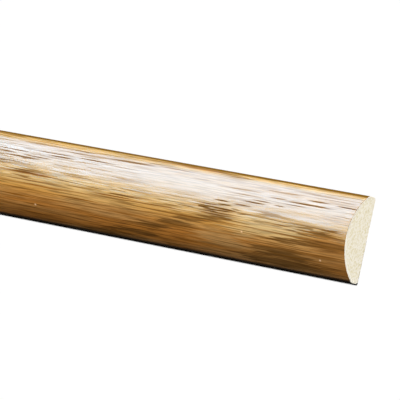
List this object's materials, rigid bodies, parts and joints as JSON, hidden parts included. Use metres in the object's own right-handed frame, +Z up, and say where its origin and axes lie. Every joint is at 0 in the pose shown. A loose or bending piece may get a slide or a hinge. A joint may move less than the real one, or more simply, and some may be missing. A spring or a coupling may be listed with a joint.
{
  "type": "batten moulding",
  "caption": "Long crowned batten moulding with a flat back, a pale fibreboard core and a glossy woodgrain foil, for covering the joints between wall panels.",
  "frame": {"origin": "middle of the flat back face, half way along the strip", "axes": "+X along the strip, +Y across its width, +Z up from the back towards the crown"},
  "size_m": [2.4384, 0.0286, 0.0095],
  "materials": {
    "fibreboard": "matte",
    "woodgrain_foil": "satin"
  },
  "bodies": {
    "root": {"fibreboard_core": "fibreboard", "woodgrain_foil": "woodgrain_foil"}
  },
  "joints": []
}
